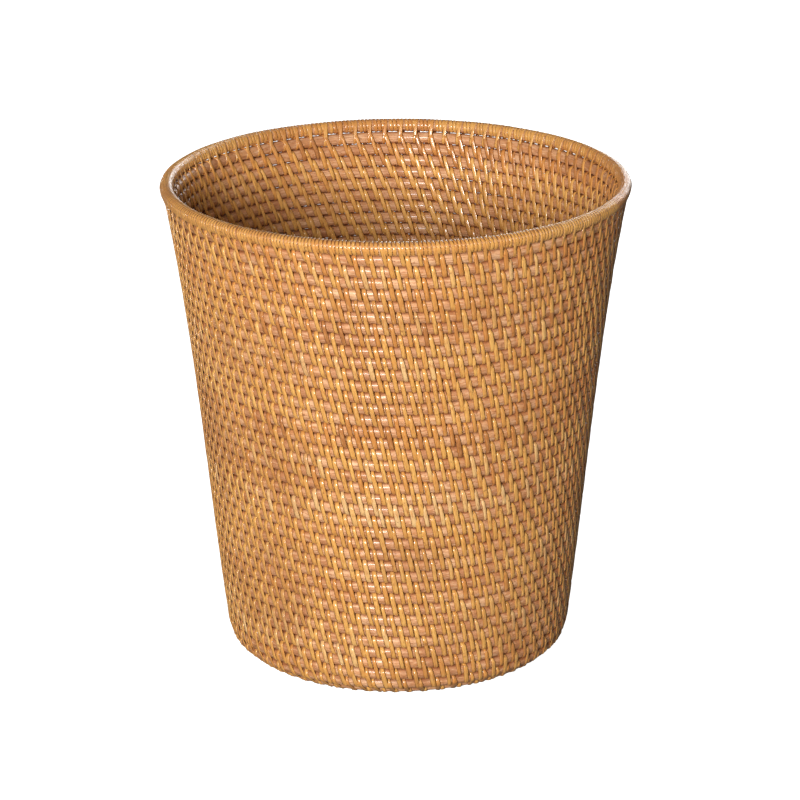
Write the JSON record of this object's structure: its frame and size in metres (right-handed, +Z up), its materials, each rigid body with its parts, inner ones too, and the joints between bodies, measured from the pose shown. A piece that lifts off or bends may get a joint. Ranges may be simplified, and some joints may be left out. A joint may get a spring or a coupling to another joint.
{
  "type": "wastebasket",
  "caption": "Round tapering wastebasket of coiled rattan rods lashed row to row with flat cane, with a wrapped rim and an open top.",
  "frame": {"origin": "on the floor, under the middle of the base", "axes": "+Z up along the basket's axis; the basket is round, so X and Y are any two directions across it, with -Y towards the viewer"},
  "size_m": [0.2666, 0.2666, 0.2794],
  "materials": {
    "rattan_rod": "satin split rattan, pinkish tan",
    "cane_lashing": "glossy honey cane"
  },
  "bodies": {
    "root": {"base_centre_knot": "cane_lashing", "base_coil": "rattan_rod", "base_lashing": "cane_lashing", "rim_binding": "cane_lashing", "rim_rod": "rattan_rod", "wall_row_01": "rattan_rod", "wall_row_02": "rattan_rod", "wall_row_03": "rattan_rod", "wall_row_04": "rattan_rod", "wall_row_05": "rattan_rod", "wall_row_06": "rattan_rod", "wall_row_07": "rattan_rod", "wall_row_08": "rattan_rod", "wall_row_09": "rattan_rod", "wall_row_10": "rattan_rod", "wall_row_11": "rattan_rod", "wall_row_12": "rattan_rod", "wall_row_13": "rattan_rod", "wall_row_14": "rattan_rod", "wall_row_15": "rattan_rod", "wall_row_16": "rattan_rod", "wall_row_17": "rattan_rod", "wall_row_18": "rattan_rod", "wall_row_19": "rattan_rod", "wall_row_20": "rattan_rod", "wall_row_21": "rattan_rod", "wall_row_22": "rattan_rod", "wall_row_23": "rattan_rod", "wall_row_24": "rattan_rod", "wall_row_25": "rattan_rod", "wall_row_26": "rattan_rod", "wall_row_27": "rattan_rod", "wall_row_28": "rattan_rod", "wall_row_29": "rattan_rod", "wall_row_30": "rattan_rod", "wall_row_31": "rattan_rod", "wall_row_32": "rattan_rod", "wall_row_33": "rattan_rod", "wall_row_34": "rattan_rod", "wall_row_35": "rattan_rod", "wall_row_36": "rattan_rod", "wall_row_37": "rattan_rod", "wall_row_38": "rattan_rod", "wall_row_39": "rattan_rod", "wall_row_40": "rattan_rod"}
  },
  "joints": []
}
